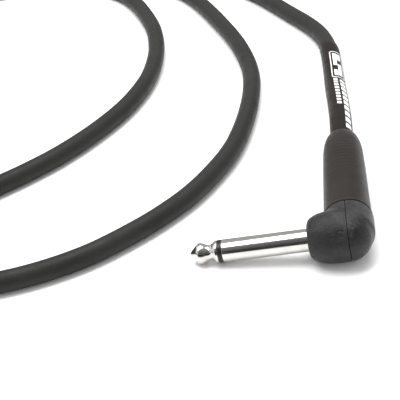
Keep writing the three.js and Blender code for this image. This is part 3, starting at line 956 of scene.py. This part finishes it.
def strap_mesh():
    """A band round the coil's section, with rounded corners."""
    rim = COIL_OUTER_TURN + CABLE_RADIUS
    bore = COIL_OUTER_TURN - TURN_PITCH - CABLE_RADIUS
    top = COIL_LIFT + (COIL_LAYERS - 1) * TURN_PITCH + 2 * CABLE_RADIUS
    left, right, low, high = bore - 0.7, rim + 0.7, COIL_LIFT - 0.6, top + 0.6
    outline = []
    for x, z, start in (
        (right - STRAP_CORNER, high - STRAP_CORNER, 0),
        (left + STRAP_CORNER, high - STRAP_CORNER, 90),
        (left + STRAP_CORNER, low + STRAP_CORNER, 180),
        (right - STRAP_CORNER, low + STRAP_CORNER, 270),
    ):
        for k in range(STRAP_CORNER_STEPS + 1):
            angle = math.radians(start + 90 * k / STRAP_CORNER_STEPS)
            outline.append((
                x + STRAP_CORNER * math.cos(angle), z + STRAP_CORNER * math.sin(angle)))
    centre_x, centre_z = (left + right) / 2, (low + high) / 2
    mesh = bmesh.new()
    loops = []
    for x, z in outline:
        away = Vector((x - centre_x, 0, z - centre_z)).normalized()
        loops.append([
            mesh.verts.new((x + away.x * thick, across, z + away.z * thick))
            for across, thick in STRAP_SECTION
        ])
    for a, b in zip(loops, loops[1:] + loops[:1]):
        for k in range(len(STRAP_SECTION)):
            j = (k + 1) % len(STRAP_SECTION)
            mesh.faces.new((a[k], a[j], b[j], b[k]))
    bmesh.ops.recalc_face_normals(mesh, faces=mesh.faces)
    return mesh


strap_frame = (
    Matrix.Translation(at((COIL_X, COIL_Y, 0)))
    @ Matrix.Rotation(TIE_ANGLE, 4, "Z")
    @ Matrix.Scale(MM, 4)
)
strap = add_object("coil_tie", to_mesh("coil_tie", strap_mesh(), strap_frame, 60),
                   ROOT, ["coil_strap"], strap_black)


# --- The CAD nodes that stay: what is inside the plugs. ---

KEPT = {
    "plug_rear_insulator": insulator, "far_rear_insulator": insulator,
    "plug_tip_lug": tinned, "plug_ground_lug": tinned,
    "far_tip_lug": tinned, "far_ground_lug": tinned,
    "plug_tip_solder": solder, "plug_ground_solder": solder, "far_tip_solder": solder,
    "plug_core": core_white, "far_core": core_white,
    "plug_wire_end": copper, "plug_shield_pigtail": copper,
}
for name, material in KEPT.items():
    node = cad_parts[name]
    node.data.materials.clear()
    node.data.materials.append(material)


# --- Cable. ---


def add_cable():
    data = bpy.data.curves.new("cable", "CURVE")
    data.dimensions = "3D"
    data.bevel_depth = CABLE_RADIUS * MM
    data.bevel_resolution = 7
    data.use_fill_caps = True
    line = data.splines.new("POLY")
    line.points.add(len(centreline) - 1)
    for spot, point in zip(line.points, centreline):
        spot.co = (*at(point), 1)
    line.use_smooth = True
    data.materials.append(jacket)
    cable = bpy.data.objects.new("cable", data)
    bpy.context.scene.collection.objects.link(cable)
    finish_piece(cable, ROOT, [
        "cable_outer_loop", "cable_middle_loop", "cable_inner_loop", "cable_coil", "cable_tail",
    ])
    return cable


cable = add_cable()


# --- Floor, light and surroundings. ---


def add_floor():
    mesh = bmesh.new()
    bmesh.ops.create_grid(mesh, x_segments=8, y_segments=8, size=3)
    data = bpy.data.meshes.new("floor")
    mesh.to_mesh(data)
    mesh.free()
    s = Shader("floor_white", 0.6, 0.0, **{"Specular IOR Level": 0.2})
    s.colour(s.mix(s.noise(3, 2), (0.90, 0.90, 0.90), (0.91, 0.91, 0.91)))
    data.materials.append(s.material)
    floor = bpy.data.objects.new("floor", data)
    bpy.context.scene.collection.objects.link(floor)


add_floor()


KEY_AT = Vector((-0.12, 0.12, 0.72))
KEY_TOWARDS = Vector((-0.04, 0.02, 0))
KEY_SIZE = (0.9, 0.42)
KEY_POWER = 8.5


def add_key_light():
    """A softbox overhead, a little behind the part."""
    data = bpy.data.lights.new("key", "AREA")
    data.shape = "RECTANGLE"
    data.size, data.size_y = KEY_SIZE
    data.energy = KEY_POWER
    light = bpy.data.objects.new("key", data)
    light.location = KEY_AT
    light.rotation_euler = (KEY_TOWARDS - KEY_AT).to_track_quat("-Z", "Y").to_euler()
    bpy.context.scene.collection.objects.link(light)


add_key_light()

CARD_AT = (-0.02, -0.105, 0.022)
CARD_SIZE = (0.30, 0.044)


def add_card():
    """A black card in front of the plug, seen only in the plating."""
    mesh = bmesh.new()
    bmesh.ops.create_grid(mesh, x_segments=2, y_segments=2, size=0.5)
    mesh.transform(
        Matrix.Translation(CARD_AT) @ Matrix.Rotation(math.pi / 2, 4, "X")
        @ Matrix.Diagonal((*CARD_SIZE, 1, 1))
    )
    data = bpy.data.meshes.new("card")
    mesh.to_mesh(data)
    mesh.free()
    s = Shader("card_black", 0.9)
    s.colour(s.mix(s.noise(8, 2), (0.010, 0.010, 0.010), (0.014, 0.014, 0.014)))
    data.materials.append(s.material)
    card = bpy.data.objects.new("card", data)
    bpy.context.scene.collection.objects.link(card)
    card.visible_camera = False
    card.visible_diffuse = False
    card.visible_shadow = False


add_card()


WORLD_FILL = 0.85
WORLD_FRONT, WORLD_BACK, WORLD_ABOVE, WORLD_LEFT = 0.10, 0.55, 0.1, 1.0


def add_world():
    """A white tent that fills the shadows; reflections see it grey behind and dark in front."""
    world = bpy.data.worlds.new("studio")
    bpy.context.scene.world = world
    world.use_nodes = True
    tree = world.node_tree
    background = next(n for n in tree.nodes if n.type == "BACKGROUND")
    background.inputs["Color"].default_value = (1, 1, 1, 1)
    split = tree.nodes.new("ShaderNodeSeparateXYZ")
    way = tree.nodes.new("ShaderNodeTexCoord").outputs["Generated"]
    tree.links.new(way, split.inputs[0])

    def remap(source, low, high, to_low, to_high):
        node = tree.nodes.new("ShaderNodeMapRange")
        for socket, value in zip(node.inputs[1:5], (low, high, to_low, to_high)):
            socket.default_value = value
        tree.links.new(source, node.inputs[0])
        return node.outputs[0]

    def add_up(a, b):
        node = tree.nodes.new("ShaderNodeMath")
        tree.links.new(a, node.inputs[0])
        tree.links.new(b, node.inputs[1])
        return node.outputs[0]

    sides = remap(split.outputs[1], -0.7, 0.8, WORLD_FRONT, WORLD_BACK)
    above = remap(split.outputs[2], 0.3, 1.0, 0, WORLD_ABOVE)
    left = remap(split.outputs[0], -1.0, -0.35, WORLD_LEFT, 0)
    seen = tree.nodes.new("ShaderNodeMix")
    glossy = tree.nodes.new("ShaderNodeLightPath").outputs["Is Glossy Ray"]
    tree.links.new(glossy, seen.inputs[0])
    seen.inputs[2].default_value = WORLD_FILL
    tree.links.new(add_up(add_up(sides, above), left), seen.inputs[3])
    tree.links.new(seen.outputs[0], background.inputs["Strength"])


add_world()

view = bpy.context.scene.view_settings
view.view_transform = "Standard"
view.look = "None"

bpy.context.view_layer.update()
